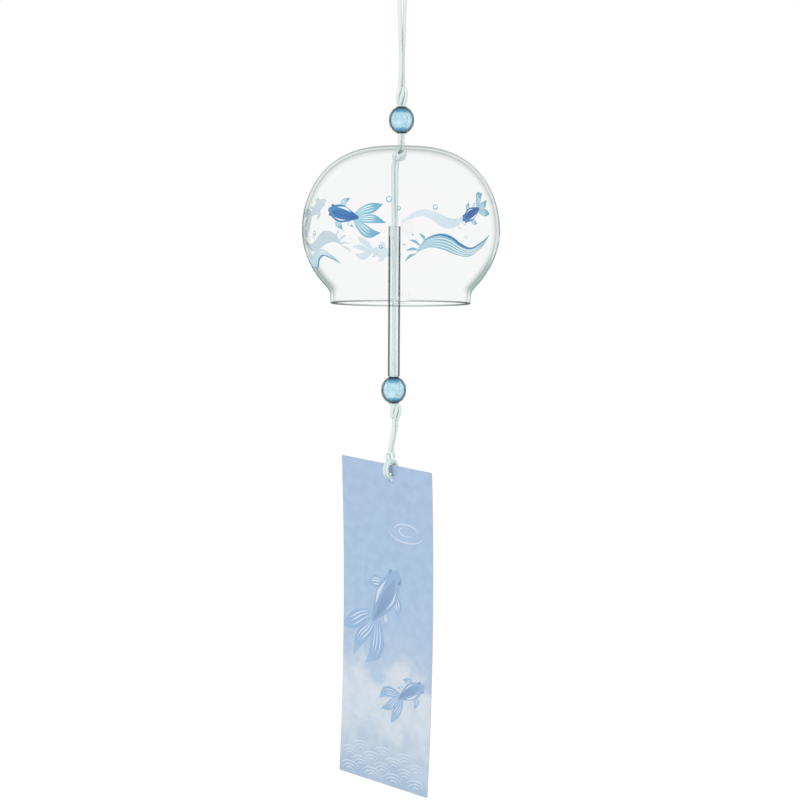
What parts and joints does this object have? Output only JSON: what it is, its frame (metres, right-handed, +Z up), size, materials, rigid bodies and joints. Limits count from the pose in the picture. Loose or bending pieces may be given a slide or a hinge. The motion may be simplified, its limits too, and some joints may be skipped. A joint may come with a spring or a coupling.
{
  "type": "furin wind bell",
  "caption": "Small hanging wind bell: a clear glass bell with a glass clapper tube, two faceted beads and a paper strip on one doubled cord.",
  "frame": {"origin": "inside top of the hanging loop, where the hook bears", "axes": "+Z up, +X to the right in the front view, +Y away from the viewer; the bell's own axis lies on Z"},
  "size_m": [0.08, 0.08, 0.3444],
  "materials": {
    "bell_glass": "clear blown glass, fire polished",
    "tube_glass": "clear drawn glass tube",
    "bead": "transparent pale blue acrylic, moulded facets",
    "cord": "glossy twisted nylon, pale mint",
    "card": "matt printed card, pale blue"
  },
  "bodies": {
    "hanger": {"hanging_loop": "cord", "loop_knot": "cord"},
    "neck": {"neck_cord": "cord"},
    "top_bead": {"top_bead": "bead"},
    "bell": {"glass_bell": "bell_glass"},
    "bell_knot": {"bell_knot": "cord"},
    "clapper": {"clapper_cord": "cord", "bead_knot": "cord"},
    "clapper_tube": {"clapper_tube": "tube_glass"},
    "bottom_bead": {"bottom_bead": "bead"},
    "tail": {"tail_cord": "cord"},
    "strip_knot": {"strip_knot": "cord"},
    "paper_strip": {"paper_strip": "card"}
  },
  "joints": [
    {"name": "neck_turn", "type": "hinge", "parent": "hanger", "child": "neck", "pos_m": [0, 0, -0.06], "axis": [0, 0, 1], "continuous": true},
    {"name": "top_bead_turn", "type": "hinge", "parent": "neck", "child": "top_bead", "pos_m": [0, 0, -0.06605], "axis": [0, 0, 1], "continuous": true},
    {"name": "bell_rock", "type": "hinge", "parent": "neck", "child": "bell", "pos_m": [0, 0, -0.0799], "axis": [1, 0, 0], "range_deg": [-10, 10]},
    {"name": "clapper_turn", "type": "hinge", "parent": "bell", "child": "bell_knot", "pos_m": [0, 0, -0.0799], "axis": [0, 0, 1], "continuous": true},
    {"name": "clapper_swing", "type": "hinge", "parent": "bell_knot", "child": "clapper", "pos_m": [0, 0, -0.0799], "axis": [0, 1, 0], "range_deg": [-24, 19.5]},
    {"name": "tube_lift", "type": "slide", "parent": "clapper", "child": "clapper_tube", "axis": [0, 0, 1], "range_m": [0, 0.0255]},
    {"name": "bottom_bead_turn", "type": "hinge", "parent": "clapper", "child": "bottom_bead", "pos_m": [-0.0026, 0, -0.1754], "axis": [0, 0, 1], "continuous": true},
    {"name": "tail_swing", "type": "hinge", "parent": "clapper", "child": "tail", "pos_m": [-0.0026, 0, -0.18485], "axis": [0, 1, 0], "range_deg": [-40, 40]},
    {"name": "strip_turn", "type": "hinge", "parent": "tail", "child": "strip_knot", "pos_m": [-0.0036, 0, -0.20245], "axis": [0, 0, 1], "continuous": true},
    {"name": "strip_flap", "type": "hinge", "parent": "strip_knot", "child": "paper_strip", "pos_m": [-0.0036, 0, -0.20805], "axis": [0.7071, -0.7071, 0], "range_deg": [-60, 60]}
  ]
}
